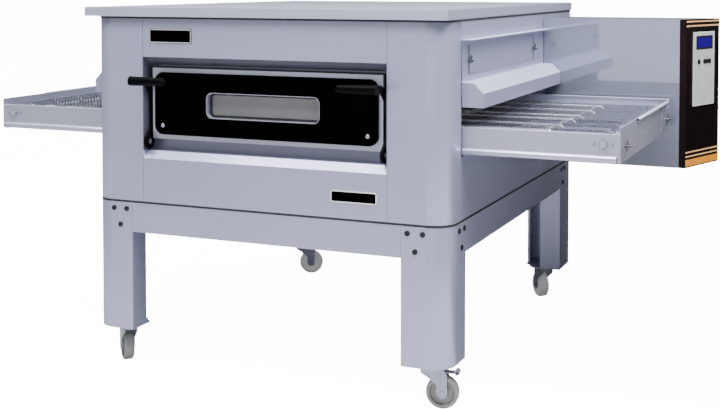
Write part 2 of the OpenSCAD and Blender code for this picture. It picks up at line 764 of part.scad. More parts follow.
// ---------- Door ----------

pivot_y = 14;
frame_y = 25;
door_back = 46;
glass_panel_y = 15;
panel_z0 = 781;
panel_z1 = 981;
window_z0 = 839.5;
window_z1 = 921.5;
arm_x0 = 406;
arm_t = 8;

// Rounded rectangle seen from the front, with its thickness along Y from y0 to y1
module rounded_slab(x, z0, z1, r, y0, y1) translate([0, y1, 0]) rotate([90, 0, 0]) linear_extrude(y1 - y0) {
    translate([-x, z0 + r]) square([2 * x, z1 - z0 - 2 * r]);
    translate([-x + r, z0]) square([2 * x - 2 * r, z1 - z0]);
    for (sx = [-1, 1], z = [z0 + r, z1 - r]) translate([sx * (x - r), z]) circle(r);
}

// Stainless door pan, with a sleeve that lines the window from the black panel to the back
module door_frame() color(steel) place() difference() {
    union() {
        span([-door_x, frame_y, door_z0], [door_x, door_back, door_z1]);
        rounded_slab(window_x - 0.1, window_z0 + 0.1, window_z1 - 0.1, 20, glass_panel_y - 0.5, frame_y + 1);
    }
    span([-door_x + sheet, frame_y + sheet, door_z0 + sheet], [door_x - sheet, door_back - sheet, window_z0 - 20]);
    span([-door_x + sheet, frame_y + sheet, window_z1 + 20], [door_x - sheet, door_back - sheet, door_z1 - sheet]);
    rounded_slab(window_x - 2.1, window_z0 + 2.1, window_z1 - 2.1, 18, glass_panel_y - 2, door_back + 1);
    for (x = [-357, 357]) rod_y(3.1, frame_y - 1, frame_y + sheet + 1, x, 810.5);
}
module door_panel() color(black) place() {
    difference() {
        rounded_slab(panel_x, panel_z0, panel_z1, 30, glass_panel_y, frame_y - 0.1);
        rounded_slab(window_x, window_z0, window_z1, 20, glass_panel_y - 1, frame_y + 1);
        for (x = [-357, 357]) rod_y(3.1, glass_panel_y - 1, frame_y + 1, x, 810.5);
    }
    for (x = [-357, 357]) {
        rod_y(3, glass_panel_y - 1, frame_y + sheet + 1, x, 810.5);
        rod_y(7, glass_panel_y - 3, glass_panel_y - 0.1, x, 810.5);
    }
}
module door_glass() color([0.6, 0.62, 0.66, 0.4]) place()
    rounded_slab(window_x - 5.6, window_z0 + 5.6, window_z1 - 5.6, 14.5, frame_y + 15, frame_y + 19);

// Window gasket round the pane, and the door seal on the back
module door_gasket() color(black) place() {
    difference() {
        rounded_slab(window_x - 2.3, window_z0 + 2.3, window_z1 - 2.3, 17.8, frame_y + 12, frame_y + 21);
        rounded_slab(window_x - 9, window_z0 + 9, window_z1 - 9, 11, frame_y + 11, frame_y + 22);
        rounded_slab(window_x - 5.5, window_z0 + 5.5, window_z1 - 5.5, 14.6, frame_y + 14.9, frame_y + 19.1);
    }
    difference() {
        rounded_slab(mouth_x + 14, mouth_z0 - 9, mouth_z1 + 9, 12, door_back + 0.1, recess_d - 0.4);
        rounded_slab(mouth_x + 2, mouth_z0 + 2, mouth_z1 - 2, 8, door_back - 1, recess_d + 1);
    }
}

// Lever beside the door: hub on the pivot, straight shank and a curved neck out to the grip
module arm_plan() {
    bend = [-40, 882];
    intersection() {
        translate(bend) difference() {
            circle(87);
            circle(65);
        }
        translate(bend) square(100);
    }
    translate([25, 799]) square([22, bend[1] - 799]);
    translate([grip_y, grip_z - 11]) square([bend[0] - grip_y, 22]);
    translate([grip_y, grip_z]) circle(11);
    polygon([[25, 882], [47, 882], [46, 800], [38, 762], [pivot_y, 757], [-8, 766], [2, 779], [25, 799]]);
    translate([pivot_y, pivot_z]) circle(25);
}
module door_arms() color(black) place() for (s = [-1, 1]) difference() {
    union() {
        translate([s * (arm_x0 + arm_t / 2), 0, 0]) rotate([90, 0, 90])
            linear_extrude(arm_t, center = true) arm_plan();
        translate([s * 404.2, frame_y + 10, 850]) cube([4.4, 14, 60], center = true);
    }
    rod_x(8.05, s * 412 - 10, s * 412 + 10, pivot_y, pivot_z);
}

// Tapered grips, one at each side, pointing inwards
module grip() {
    taper = 3;
    len = grip_x1 - grip_x0 - grip_r + taper;
    translate([grip_x1, grip_y, grip_z]) rotate([0, -90, 0]) {
        cylinder(r1 = grip_r, r2 = grip_r - taper, h = len);
        translate([0, 0, len]) sphere(grip_r - taper);
    }
}
module door_grips() color(black) place() difference() {
    union() {
        grip();
        mirror_left() grip();
    }
    for (s = [-1, 1]) translate([s * (arm_x0 + arm_t / 2), grip_y, grip_z]) {
        rotate([0, 90, 0]) cylinder(r = 11.05, h = arm_t + 0.1, center = true);
        translate([-arm_t / 2 - 0.05, 0, -11.05]) cube([arm_t + 0.1, 40, 22.1]);
    }
}

// ---------- Controls ----------

// Plan of the enclosure; its right end follows the control face
module box_plan(inset) {
    slope = tan(face_angle);
    polygon([[half_w + 1 + inset, box_y0 + inset], [box_x1 + inset * slope, box_y0 + inset],
             [box_x1 + (box_d - inset) * slope, box_y0 + box_d - inset],
             [half_w + 1 + inset, box_y0 + box_d - inset]]);
}
module control_enclosure() color(steel) place() difference() {
    translate([0, 0, box_z0]) linear_extrude(box_z1 - box_z0) box_plan(0);
    translate([0, 0, box_z0 + sheet]) linear_extrude(box_z1 - box_z0 - 2 * sheet) union() {
        box_plan(sheet);
        translate([5, 0]) intersection() {
            box_plan(sheet);
            translate([box_x1 - 60, 0]) square([300, 2000]);
        }
    }
    rod_y(shaft_r + 3, box_y0 - 5, box_y0 + 10, shaft_x, shaft_z);
    rod_x(16, half_w - 5, half_w + 10, box_y0 + 60, box_z0 + 60);
}

// Places children on the control face: X along it from its front edge, Y out of it, Z up
module on_face() translate([face_x0, box_y0, 0]) rotate(90 - face_angle) mirror([0, 1, 0]) children();

// Cap over the right end of the enclosure, hollow from behind
module control_fascia() color(black) place() {
    slope = tan(face_angle);
    near = box_y0 + sheet;
    far = box_y0 + box_d - sheet;
    skin = sheet / cos(face_angle);
    difference() {
        translate([0, 0, box_z0]) linear_extrude(box_z1 - box_z0)
            polygon([[box_x1 + 0.2, box_y0], [face_x0, box_y0], [face_x0 + box_d * slope, box_y0 + box_d],
                     [box_x1 + 0.2 + box_d * slope, box_y0 + box_d]]);
        translate([0, 0, box_z0 + sheet]) linear_extrude(box_z1 - box_z0 - 2 * sheet)
            polygon([[box_x1 - 5, near], [face_x0 - skin + (near - box_y0) * slope, near],
                     [face_x0 - skin + (far - box_y0) * slope, far], [box_x1 - 5, far]]);
    }
}

// Control panel on the face, with its openings for the display and the buttons
cp_x = [50, 208];
cp_z = [829, 1093];
cp_t = 4;
lcd_x = [72, 187];
lcd_z = [1036, 1074];
button_at = [89, 131, 151, 171];
button_z = 986;
button_r = 8.5;
module face_prism(x, z, y0, y1) translate([x, y1, z]) rotate([90, 0, 0]) linear_extrude(y1 - y0) children();

module control_panel() color([0.62, 0.63, 0.66]) place() on_face() difference() {
    span([cp_x[0], 0.1, cp_z[0]], [cp_x[1], cp_t, cp_z[1]]);
    span([lcd_x[0] - 0.3, -1, lcd_z[0] - 0.3], [lcd_x[1] + 0.3, cp_t + 1, lcd_z[1] + 0.3]);
    for (x = button_at) face_prism(x, button_z, -1, cp_t + 1) circle(button_r + 0.4);
}
module display() color([0.15, 0.25, 0.75]) place() on_face()
    span([lcd_x[0], 0.1, lcd_z[0]], [lcd_x[1], cp_t + 0.8, lcd_z[1]]);
module button(i) color(black) place() on_face() face_prism(button_at[i], button_z, 1.8, cp_t + 2.2) circle(button_r);
module button_power() button(0);
module button_down() button(1);
module button_up() button(2);
module button_set() button(3);

// Circuit board on posts behind the control face
module control_board() color([0.10, 0.35, 0.18]) place() on_face() {
    board_y = -(fascia_t * cos(face_angle) + 14);
    span([50, board_y - 1.6, 860], [200, board_y, 1080]);
    for (x = [60, 190], z = [870, 1070]) rod_y(4, board_y - 0.1, -sheet, x, z);
    span([80, board_y - 26, 900], [120, board_y - 1, 960]);
    span([140, board_y - 16, 900], [180, board_y - 1, 1040]);
}

// Badge on the upper panel and name plate on the lower one, with their rivets
module plate(x0, x1, z0, z1) {
    span([x0, -2, z0], [x1, -0.1, z1]);
    for (x = [x0 + 7, x1 - 7]) rod_y(2.5, -3.2, -0.1, x, (z0 + z1) / 2);
}
module name_plates() color(black) place() {
    plate(-397, -241, 1076, 1121);
    plate(242, 392, 610, 646);
}

// Supply cable gland: body, lock nut inside and dome nut outside
module cable_gland() color(black) place() difference() {
    union() {
        rod_y(gland_thread_r, body_d - 12, body_d + 6, gland_x, gland_z);
        translate([gland_x, body_d + 8, gland_z]) rotate([90, 0, 0]) cylinder(r = 17, h = 7.9, $fn = 6);
        translate([gland_x, body_d - sheet - 0.1, gland_z]) rotate([90, 0, 0]) cylinder(r = 17, h = 5, $fn = 6);
        rod_y(15, body_d + 8, body_d + gland_len, gland_x, gland_z);
    }
    rod_y(gland_bore_r, body_d - 20, body_d + gland_len + 1, gland_x, gland_z);
}

front_legs();
rear_legs();
stand_rails();
leg_bolts();
caster_plates();
caster_fork_fl();
caster_fork_fr();
caster_fork_rl();
caster_fork_rr();
caster_wheel_fl();
caster_wheel_fr();
caster_wheel_rl();
caster_wheel_rr();
brake_pedal_rr();
brake_pedal_fr();
top_cover();
front_posts();
front_panels();
door_surround();
side_panel_left();
side_panel_right();
rear_panel();
base_pan();
chamber_liner();
insulation();
jet_ducts();
heating_elements();
fan_motor();
fan_impeller();
conveyor_frame();
belt_support_rack();
conveyor_belt();
drive_shaft();
idler_shaft();
shaft_bearings();
end_plates();
crumb_tray_left();
crumb_tray_right();
gear_motor();
hood_left();
hood_right();
wing_studs();
wing_nuts();
door_frame();
door_panel();
door_glass();
door_gasket();
door_arms();
door_grips();
control_enclosure();
control_fascia();
control_panel();
display();
control_board();
button_power();
button_down();
button_up();
button_set();
name_plates();
cable_gland();
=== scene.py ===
import bpy
import json
import math
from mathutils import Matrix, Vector


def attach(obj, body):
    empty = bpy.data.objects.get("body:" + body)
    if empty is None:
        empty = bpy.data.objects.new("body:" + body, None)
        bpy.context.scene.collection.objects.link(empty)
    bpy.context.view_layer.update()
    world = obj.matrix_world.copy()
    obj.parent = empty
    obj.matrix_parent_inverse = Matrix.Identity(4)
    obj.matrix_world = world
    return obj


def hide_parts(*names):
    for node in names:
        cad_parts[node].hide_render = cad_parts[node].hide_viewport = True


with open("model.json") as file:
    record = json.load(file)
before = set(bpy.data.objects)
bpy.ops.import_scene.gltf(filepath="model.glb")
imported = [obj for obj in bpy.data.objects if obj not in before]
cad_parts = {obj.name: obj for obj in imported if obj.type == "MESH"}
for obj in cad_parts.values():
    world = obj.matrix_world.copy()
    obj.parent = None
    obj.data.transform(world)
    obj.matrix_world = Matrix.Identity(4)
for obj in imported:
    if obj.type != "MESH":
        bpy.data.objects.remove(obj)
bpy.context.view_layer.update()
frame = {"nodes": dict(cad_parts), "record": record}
NODES = frame["nodes"]

# Body coordinates (mm): X = 0 middle of the oven body, Y = 0 its front face, Z = 0 the floor.
FACE = math.radians(19.5)        # turn of the control face away from the oven's front
FACE_X, FACE_Y = 1133, 1060      # front edge of the control face
FACE_DEPTH = 240                 # depth of the control box along Y
CONVEYOR_LEFT = 1101             # reach of the conveyor to the left of the body's middle
MID_X = (FACE_X + FACE_DEPTH * math.tan(FACE) - CONVEYOR_LEFT) / 2
MID_Y = 716.0
BODY_TOP = 1160.0                # underside of the top cover


def P(x, y, z):
    """Body coordinates in mm to the shared frame in metres."""
    return Vector(((x - MID_X) / 1000, (y - MID_Y) / 1000, z / 1000))


def on_face(s, o, z):
    """A point on the control face: s along it from its front edge, o out of it."""
    x = FACE_X + s * math.sin(FACE) + o * math.cos(FACE)
    return P(x, FACE_Y + s * math.cos(FACE) - o * math.sin(FACE), z)


# ---------- materials ----------

def new_material(name):
    """Empty material with a principled shader joined to its output."""
    m = bpy.data.materials.new(name)
    m.use_nodes = True
    nt = m.node_tree
    nt.nodes.clear()
    out = nt.nodes.new("ShaderNodeOutputMaterial")
    b = nt.nodes.new("ShaderNodeBsdfPrincipled")
    nt.links.new(b.outputs[0], out.inputs[0])
    return m, nt, b


def noise(nt, scale, detail, stretch=(1, 1, 1)):
    """Noise over the piece's own coordinates."""
    co = nt.nodes.new("ShaderNodeTexCoord")
    mp = nt.nodes.new("ShaderNodeMapping")
    mp.inputs["Scale"].default_value = stretch
    n = nt.nodes.new("ShaderNodeTexNoise")
    n.inputs["Scale"].default_value = scale
    n.inputs["Detail"].default_value = detail
    nt.links.new(co.outputs["Object"], mp.inputs[0])
    nt.links.new(mp.outputs[0], n.inputs["Vector"])
    return n.outputs[0]


def map_range(nt, value, from_lo, from_hi, lo, hi):
    """Maps a value from one range to another and clamps it there."""
    r = nt.nodes.new("ShaderNodeMapRange")
    r.inputs["From Min"].default_value = from_lo
    r.inputs["From Max"].default_value = from_hi
    r.inputs["To Min"].default_value = lo
    r.inputs["To Max"].default_value = hi
    nt.links.new(value, r.inputs[0])
    return r.outputs[0]


def two_tone(nt, fac, a, b):
    """Blend of two colours driven by a noise."""
    r = nt.nodes.new("ShaderNodeValToRGB")
    r.color_ramp.elements[0].position = 0.35
    r.color_ramp.elements[1].position = 0.65
    r.color_ramp.elements[0].color = (*a, 1)
    r.color_ramp.elements[1].color = (*b, 1)
    nt.links.new(fac, r.inputs[0])
    return r.outputs[0]


def surface(name, color, metallic, rough, vary=0.05, rough_vary=0.05, scale=3.0, detail=4.0,
            stretch=(1, 1, 1), bump=0.0, bump_scale=400.0, bump_stretch=(1, 1, 1), spec=0.5,
            emission=None, transmission=0.0):
    """Procedural finish: a base colour and roughness that wander a little, with a fine relief."""
    m, nt, b = new_material(name)
    n = noise(nt, scale, detail, stretch)
    lo = tuple(c * (1 - vary) for c in color)
    hi = tuple(min(1.0, c * (1 + vary)) for c in color)
    nt.links.new(two_tone(nt, n, lo, hi), b.inputs["Base Color"])
    n2 = noise(nt, scale * 2.3, detail, stretch)
    lowest = max(0.02, rough - rough_vary)
    nt.links.new(map_range(nt, n2, 0.3, 0.7, lowest, rough + rough_vary), b.inputs["Roughness"])
    b.inputs["Metallic"].default_value = metallic
    b.inputs["Specular IOR Level"].default_value = spec
    b.inputs["Coat Roughness"].default_value = 0.08
    b.inputs["Transmission Weight"].default_value = transmission
    if emission:
        b.inputs["Emission Color"].default_value = (*emission[0], 1)
        b.inputs["Emission Strength"].default_value = emission[1]
    if bump:
        n3 = noise(nt, bump_scale, 2.0, bump_stretch)
        bp = nt.nodes.new("ShaderNodeBump")
        bp.inputs["Strength"].default_value = bump
        bp.inputs["Distance"].default_value = 0.0005
        nt.links.new(n3, bp.inputs["Height"])
        nt.links.new(bp.outputs[0], b.inputs["Normal"])
    return m


def shade_by_z(m, node_type, output, z0, z1, low, high):
    """Painted light and shade: multiplies a finish's base colour by a factor that follows the Z of a position
    or a normal.
    """
    nt = m.node_tree
    b = next(n for n in nt.nodes if n.type == "BSDF_PRINCIPLED")
    old = b.inputs["Base Color"].links[0].from_socket
    source = nt.nodes.new(node_type)
    sep = nt.nodes.new("ShaderNodeSeparateXYZ")
    nt.links.new(source.outputs[output], sep.inputs[0])
    mul = nt.nodes.new("ShaderNodeMix")
    mul.data_type = "RGBA"
    mul.blend_type = "MULTIPLY"
    mul.inputs["Factor"].default_value = 1.0
    nt.links.new(old, mul.inputs[6])
    nt.links.new(map_range(nt, sep.outputs["Z"], z0, z1, low, high), mul.inputs[7])
    nt.links.new(mul.outputs[2], b.inputs["Base Color"])
    return m


def paint_shade_by_height(m, low, high, z0, z1):
    """Painted shade: turns a finish's base colour darker or lighter with height, in metres above the floor.
    """
    return shade_by_z(m, "ShaderNodeTexCoord", "Object", z0, z1, low, high)


def top_lit(m, gain):
    """Brightens a finish where the metal faces upwards and catches the ceiling light."""
    return shade_by_z(m, "ShaderNodeNewGeometry", "Normal", 0.2, 0.9, 1.0, gain)


def brushed(name, color, metallic, rough, vary, rough_vary, scale, grain, stretch=(1, 1, 1), depth=0.03):
    """Sheet metal with a fine grain along one direction."""
    return surface(name, color, metallic, rough, vary, rough_vary, scale, 3, stretch,
                   bump=depth, bump_scale=900, bump_stretch=grain)


STEEL = (0.36, 0.372, 0.515)
UPRIGHT = (0.05, 0.05, 1)
LENGTHWAYS = (1, 0.05, 1)
STEEL_CLOUDS = (1, 1, 0.35)
RAIL_CLOUDS = (0.3, 1, 1)
MATS = {
    "stainless_panel": brushed("satin stainless panel", STEEL, 0.5, 0.36, 0.02, 0.04, 1.2,
                               UPRIGHT, STEEL_CLOUDS),
    "stainless_top": brushed("satin stainless cover", (0.47, 0.485, 0.64), 0.55, 0.38, 0.03, 0.05, 1.4,
                             (1, 0.05, 0.05), (1, 0.4, 1)),
    # Painted reflection: the base colour is darker towards the bottom, standing in for a dark floor mirrored
    # below and the pale wall above.
    "stainless_polished": paint_shade_by_height(surface("polished stainless", (0.285, 0.298, 0.392), 0.55, 0.03, 0.02, 0.006,
                                         1.2, 3), 0.55, 1.0, 0.62, 0.86),
    # The recess is in shade above the lit sill.
    "stainless_recess": paint_shade_by_height(brushed("recess stainless", (0.46, 0.475, 0.66), 0.5, 0.32, 0.03, 0.05, 2.0,
                                       (0.05, 1, 1)), 1.0, 0.33, 0.7265, 0.7285),
    "black_screws": surface("blackened bolts", (0.018, 0.018, 0.020), 0.6, 0.42, 0.3, 0.08, 60, 2),
    "zinc_plated": surface("zinc plating", (0.10, 0.10, 0.11), 0.85, 0.24, 0.10, 0.08, 40, 3,
                           bump=0.1, bump_scale=700),
    # A faint painted glow lifts the wheels out of their shade.
    "nylon_wheel": surface("nylon wheel", (0.20, 0.20, 0.195), 0.0, 0.38, 0.05, 0.06, 25, 3,
                           bump=0.08, bump_scale=500, emission=((1, 1, 1), 0.02)),
    "black_plastic": surface("black plastic", (0.004, 0.004, 0.0045), 0.0, 0.38, 0.2, 0.06, 30, 2,
                             bump=0.1, bump_scale=800),
    "chamber_steel": surface("heat-tinted steel", (0.42, 0.40, 0.37), 0.85, 0.38, 0.12, 0.08, 6, 4),
    "mineral_wool": surface("mineral wool", (0.62, 0.55, 0.34), 0.0, 0.95, 0.2, 0.03, 60, 6,
                            bump=0.9, bump_scale=300),
    "heater_tube": surface("heater sheath", (0.07, 0.045, 0.04), 0.5, 0.6, 0.3, 0.1, 50, 3),
    "motor_casting": surface("cast motor housing", (0.33, 0.34, 0.35), 0.8, 0.55, 0.08, 0.06, 60, 4,
                             bump=0.3, bump_scale=900),
    # Painted highlight: the conveyor's steel is brighter where it faces upwards.
    "conveyor_steel": top_lit(brushed("conveyor stainless, painted highlight", (0.43, 0.445, 0.56), 0.55, 0.28, 0.015, 0.02, 2.0,
                                      LENGTHWAYS, RAIL_CLOUDS, depth=0.02), 2.4),
    "belt_wire": surface("belt wire", (0.14, 0.145, 0.172), 0.8, 0.30, 0.06, 0.06, 20, 2),
    "door_steel": surface("door stainless", (0.37, 0.385, 0.48), 0.6, 0.30, 0.03, 0.05, 3, 3),
    "black_enamel": surface("black glass enamel", (0.0004, 0.0004, 0.0004), 0.0, 0.3, 0.3, 0.05, 3, 3,
                            spec=0.006),
    "window_glass": surface("window pane", (0.235, 0.235, 0.247), 0.0, 0.06, 0.06, 0.02, 4, 2,
                            transmission=0.25),
    "seal_black": surface("black seal", (0.012, 0.012, 0.012), 0.0, 0.75, 0.2, 0.08, 40, 3,
                          bump=0.3, bump_scale=600),
    "handle_black": surface("black handle", (0.0014, 0.0014, 0.0016), 0.0, 0.34, 0.2, 0.05, 30, 3,
                            spec=0.035, bump=0.05, bump_scale=500),
    "fascia_black": surface("black control face", (0.0075, 0.0045, 0.0045), 0.0, 0.25, 0.2, 0.04, 4, 3,
                            spec=0.05),
    "panel_grey": surface("keypad film", (0.50, 0.50, 0.51), 0.0, 0.40, 0.06, 0.05, 20, 3,
                          bump=0.05, bump_scale=900),
    "display_blue": surface("display", (0.002, 0.0002, 0.02), 0.0, 0.45, 0.10, 0.03, 30, 2, spec=0.01,
                            emission=((0.05, 0.0, 0.50), 0.5)),
    "circuit_green": surface("circuit board", (0.02, 0.15, 0.05), 0.0, 0.4, 0.3, 0.08, 120, 3),
}
ORANGE = surface("orange print", (0.78, 0.30, 0.025), 0.0, 0.4, 0.06, 0.05, 15, 3)
PEACH = surface("pale orange print", (0.80, 0.46, 0.20), 0.0, 0.4, 0.05, 0.05, 15, 3)
WHITE = surface("white print", (0.75, 0.75, 0.74), 0.0, 0.45, 0.04, 0.05, 25, 3)
# Painted highlight: the hoods' base colour is brighter where they face upwards.
HOOD = top_lit(brushed("hood stainless", (0.365, 0.377, 0.51), 0.5, 0.30, 0.02, 0.03, 1.6, LENGTHWAYS), 3.2)
# A faint painted glow lifts the castors out of their shade.
CASTOR = surface("passivated castor plating, painted glow", (0.30, 0.308, 0.39), 0.5, 0.36, 0.06, 0.06, 40, 3,
                 bump=0.05, bump_scale=700, emission=((0.9, 0.93, 1.0), 0.012))
# Lit copy of the nylon wheel for the rear wheels: a paler base colour and a painted glow stand in for the
# light they lack in the shade under the oven.
REAR_WHEEL = surface("rear nylon wheel, painted fill light", (0.55, 0.55, 0.53), 0.0, 0.45, 0.05, 0.06, 25, 3,
                     emission=((1, 1, 1), 0.13))
# Painted highlight, stronger than the conveyor's: the end plates' rolled top edges are brighter where they
# face upwards.
EDGE = top_lit(brushed("end plate, painted highlight", (0.36, 0.372, 0.48), 0.55, 0.28, 0.015, 0.02, 2.0,
                       LENGTHWAYS, RAIL_CLOUDS, depth=0.02), 3.4)
# A painted glow brightens the belt's support rods.
ROD = surface("bright drawn rod, painted glow", (0.80, 0.81, 0.88), 0.6, 0.22, 0.04, 0.04, 20, 3,
              emission=((0.95, 0.97, 1.0), 0.14))
BEARING = surface("cast bearing flange", (0.26, 0.27, 0.32), 0.6, 0.34, 0.04, 0.04, 30, 3)
# Painted shade: the front's base colour darkens under the overhang of the cover.
FRONT = paint_shade_by_height(brushed("satin stainless front, painted shade", STEEL, 0.5, 0.36, 0.02, 0.04, 1.2, UPRIGHT, STEEL_CLOUDS),
               1.0, 0.50, 1.115, 1.158)

# Finishes of single nodes that differ from the rest of their slot; the control box, front, hoods, end plates,
# rods, castors and rear wheels among them carry painted shade, reflection, highlight or glow
NODE_FINISH = {
    "control_enclosure": MATS["stainless_polished"], "belt_support_rack": ROD, "shaft_bearings": BEARING,
    "caster_plates": CASTOR, "front_panels": FRONT, "front_posts": FRONT, "end_plates": EDGE,
    "hood_left": HOOD, "hood_right": HOOD, "caster_wheel_rl": REAR_WHEEL, "caster_wheel_rr": REAR_WHEEL,
}

for entry in frame["record"]["subparts"]:
    node = entry["node"]
    finish = "stainless_polished" if node == "control_enclosure" else entry["material_slot"]
    mat = NODE_FINISH.get(node, MATS[finish])
    if node.startswith(("caster_fork", "brake_pedal")):
        mat = CASTOR
    o = NODES[node]
    o.data.materials.clear()
    o.data.materials.append(mat)
    if finish.startswith("stainless") or finish in ("conveyor_steel", "door_steel"):
        weld = o.modifiers.new("weld", "WELD")
        weld.merge_threshold = 0.00001
        edge = o.modifiers.new("edge", "BEVEL")
        edge.width = 0.0008 if finish.startswith("stainless") else 0.0005
        edge.segments = 2
        edge.limit_method = "ANGLE"
        edge.angle_limit = math.radians(40)


# ---------- mesh helpers ----------

def piece(name, verts, faces, mat, body, slot, smooth=False):
    """Visual piece that rides a body and carries its material; the slot argument is not used."""
    me = bpy.data.meshes.new(name)
    me.from_pydata([tuple(v) for v in verts], [], faces)
    me.validate()
    me.update()
    if smooth:
        for p in me.polygons:
            p.use_smooth = True
    me.materials.append(mat)
    o = bpy.data.objects.new(name, me)
    bpy.context.scene.collection.objects.link(o)
    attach(o, body)
    return o


def prism_data(ring, offset):
    """Closed prism: ring of points and the vector to its second end."""
    n = len(ring)
    v = list(ring) + [p + offset for p in ring]
    f = [tuple(range(n))[::-1], tuple(range(n, 2 * n))]
    f += [(i, (i + 1) % n, n + (i + 1) % n, n + i) for i in range(n)]
    return v, f


def merge(parts):
    """Joins the vertices and faces of several parts into one mesh."""
    verts, faces = [], []
    for v, f in parts:
        k = len(verts)
        verts += list(v)
        faces += [tuple(i + k for i in q) for q in f]
    return verts, faces


def box_data(lo, hi):
    """Box between two corners in body coordinates."""
    ring = [P(lo[0], lo[1], lo[2]), P(hi[0], lo[1], lo[2]), P(hi[0], hi[1], lo[2]), P(lo[0], hi[1], lo[2])]
    return prism_data(ring, Vector((0, 0, (hi[2] - lo[2]) / 1000)))


def face_box(s0, s1, z0, z1, o0, o1):
    """Box on the control face."""
    ring = [on_face(s0, o0, z0), on_face(s1, o0, z0), on_face(s1, o1, z0), on_face(s0, o1, z0)]
    return prism_data(ring, Vector((0, 0, (z1 - z0) / 1000)))


def tube_data(points, r, sides):
    """Round bar swept along an open path of points."""
    pts = [Vector(p) for p in points]
    n = len(pts)
    rings = []
    up = None
    for i in range(n):
        a = pts[max(i - 1, 0)]
        b = pts[min(i + 1, n - 1)]
        t = (b - a).normalized()
        if up is None:
            up = Vector((0, 0, 1)) if abs(t.z) < 0.9 else Vector((1, 0, 0))
        side = t.cross(up).normalized()
        up = side.cross(t).normalized()
        angles = [2 * math.pi * k / sides for k in range(sides)]
        rings.append([pts[i] + (side * math.cos(q) + up * math.sin(q)) * r for q in angles])
    v = [p for ring in rings for p in ring]
    f = []
    for i in range(n - 1):
        j = i + 1
        for k in range(sides):
            f.append((i * sides + k, i * sides + (k + 1) % sides, j * sides + (k + 1) % sides, j * sides + k))
    f.append(tuple(range(sides))[::-1])
    f.append(tuple((n - 1) * sides + k for k in range(sides)))
    return v, f


def rounded_rect(x0, x1, z0, z1, r, n=6):
    """Outline of a rectangle with rounded corners."""
    pts = []
    corners = ((x1 - r, z1 - r, 0), (x0 + r, z1 - r, 90), (x0 + r, z0 + r, 180), (x1 - r, z0 + r, 270))
    for cx, cz, a0 in corners:
        for i in range(n + 1):
            a = math.radians(a0 + 90 * i / n)
            pts.append((cx + r * math.cos(a), cz + r * math.sin(a)))
    return pts


def frame_data(outer, inner, place, d0, d1):
    """Flat ring between two outlines of the same number of points; place(u, w, depth) gives a point."""
    n = len(outer)
    v = [place(u, w, d0) for u, w in outer] + [place(u, w, d0) for u, w in inner]
    v += [place(u, w, d1) for u, w in outer] + [place(u, w, d1) for u, w in inner]
    f = []
    for i in range(n):
        j = (i + 1) % n
        f.append((i, j, n + j, n + i))
        f.append((2 * n + i, 3 * n + i, 3 * n + j, 2 * n + j))
        f.append((i, 2 * n + i, 2 * n + j, j))
        f.append((n + i, n + j, 3 * n + j, 3 * n + i))
    return v, f


def front_place(u, w, d):
    """Frame placed on the oven's front."""
    return P(u, d, w)


def face_place(u, w, d):
    """Frame placed on the control face."""
    return on_face(u, d, w)


# ---------- wire belt ----------

BELT_X = 1037.0                  # shafts' distance from the body's middle
BELT_Z = 811.0                   # shafts' height
BELT_R = 29.4                    # radius of the belt round a shaft
BELT_Y0, BELT_Y1 = 143.5, 960.5  # edges of the belt
LINK = 12.7                      # nominal distance from wire to wire
OVERHANG = 1.12                  # reach of a wire's loops over the next wire, in pitches
WIRE_R = 0.00055
straight = 2 * BELT_X
turn = math.pi * BELT_R
loop = 2 * (straight + turn)


def belt_point(s, y):
    """Point on the belt's closed path at arc length s, in body coordinates."""
    s = s % loop
    if s < straight:
        return P(-BELT_X + s, y, BELT_Z + BELT_R)
    s -= straight
    if s < turn:
        a = math.pi / 2 - s / BELT_R
        return P(BELT_X + BELT_R * math.cos(a), y, BELT_Z + BELT_R * math.sin(a))
    s -= turn
    if s < straight:
        return P(BELT_X - s, y, BELT_Z - BELT_R)
    s -= straight
    a = -math.pi / 2 - s / BELT_R
    return P(-BELT_X + BELT_R * math.cos(a), y, BELT_Z + BELT_R * math.sin(a))


count = round(loop / LINK)
pitch = loop / count
waves = 24
period = (BELT_Y1 - BELT_Y0) / waves
parts = []
for i in range(count):
    s0 = i * pitch
    pts = []
    for k in range(waves):
        y = BELT_Y0 + k * period
        pts.append(belt_point(s0, y + 0.06 * period))
        pts.append(belt_point(s0, y + 0.40 * period))
        pts.append(belt_point(s0 + pitch * OVERHANG, y + 0.56 * period))
        pts.append(belt_point(s0 + pitch * OVERHANG, y + 0.90 * period))
    parts.append(tube_data(pts, WIRE_R, 4))
belt = piece("wire_belt", *merge(parts), MATS["belt_wire"], "oven", "belt_wire", smooth=True)
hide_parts("conveyor_belt")

# ---------- print on the control face ----------

PRINT_S0, PRINT_S1 = 2.5, 252    # ends of the printed bands along the face
STRIPE_Z = (1131, 1115.5, 667, 652)
KEY_S = (89, 131, 151, 171)      # keys along the face: power, down, up, set
KEY_Z = 986

bands = [face_box(PRINT_S0, PRINT_S1, z - 2.6, z + 2.6, -0.2, 0.25) for z in STRIPE_Z]
piece("face_stripes", *merge(bands), PEACH, "oven", "fascia_black")
piece("face_band", *face_box(PRINT_S0, PRINT_S1, 617, 641, -0.2, 0.25), ORANGE, "oven", "fascia_black")
outer = rounded_rect(50.5, 207.5, 829.5, 1092.5, 4)
inner = rounded_rect(52.6, 205.4, 831.6, 1090.4, 3)
piece("keypad_border", *frame_data(outer, inner, face_place, 3.7, 4.25), WHITE, "oven", "panel_grey")
outer = rounded_rect(67, 192, 1031, 1079, 4)
inner = rounded_rect(73, 186, 1037, 1073, 2)
piece("display_bezel", *frame_data(outer, inner, face_place, 3.9, 5.8), MATS["black_plastic"],
      "oven", "black_plastic")


def circle(s, z, r):
    """Outline of a circle on the control face."""
    angles = [math.radians(15 * i) for i in range(24)]
    return [(s + r * math.cos(a), z + r * math.sin(a)) for a in angles]


